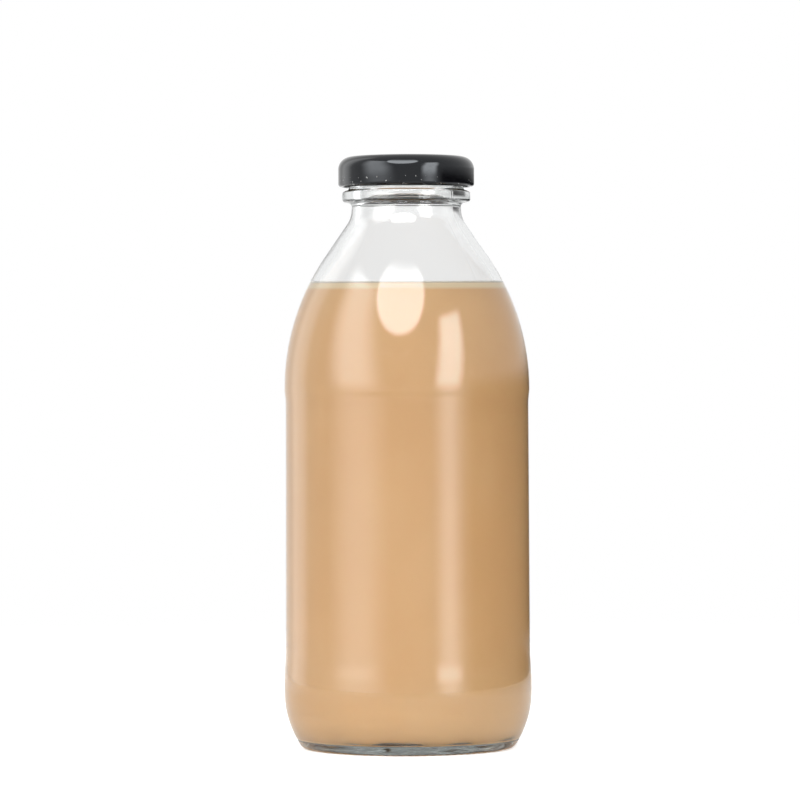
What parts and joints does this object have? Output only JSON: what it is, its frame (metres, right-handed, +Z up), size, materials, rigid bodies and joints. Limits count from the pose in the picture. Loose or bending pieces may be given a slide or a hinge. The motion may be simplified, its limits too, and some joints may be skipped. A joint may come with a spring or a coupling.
{
  "type": "glass drink bottle with twist-off cap",
  "caption": "Clear glass drink bottle with a round body, long sloping shoulder and short wide neck, full of milk tea, shut by a flat black twist-off lug cap.",
  "frame": {"origin": "middle of the base, on the plane that the bottle stands on", "axes": "+Z up along the bottle's axis from base to cap; -Y is the front"},
  "size_m": [0.0746, 0.0746, 0.1785],
  "materials": {
    "glass": "clear flint glass, fire-polished, with faint mould seams",
    "milk_tea": "opaque light-brown liquid with a smooth level top",
    "cap_lacquer": "gloss black lacquer on tinplate, lightly scuffed along its lower edge",
    "seal_compound": "soft off-white sealing compound, satin"
  },
  "bodies": {
    "bottle": {"glass_bottle": "glass", "milk_tea": "milk_tea"},
    "seal": {"cap_seal": "seal_compound"},
    "cap": {"cap_shell": "cap_lacquer"}
  },
  "joints": [
    {"name": "cap_rise", "type": "slide", "parent": "bottle", "child": "seal", "axis": [0, 0, 1], "range_m": [0, 0.024]},
    {"name": "cap_twist", "type": "hinge", "parent": "seal", "child": "cap", "pos_m": [0, 0, 0.1738], "axis": [0, 0, 1], "range_deg": [0, 720]}
  ],
  "couplings": [
    {"joint": "cap_rise", "follows": "cap_twist", "m_per_rad": 0.0019099}
  ]
}
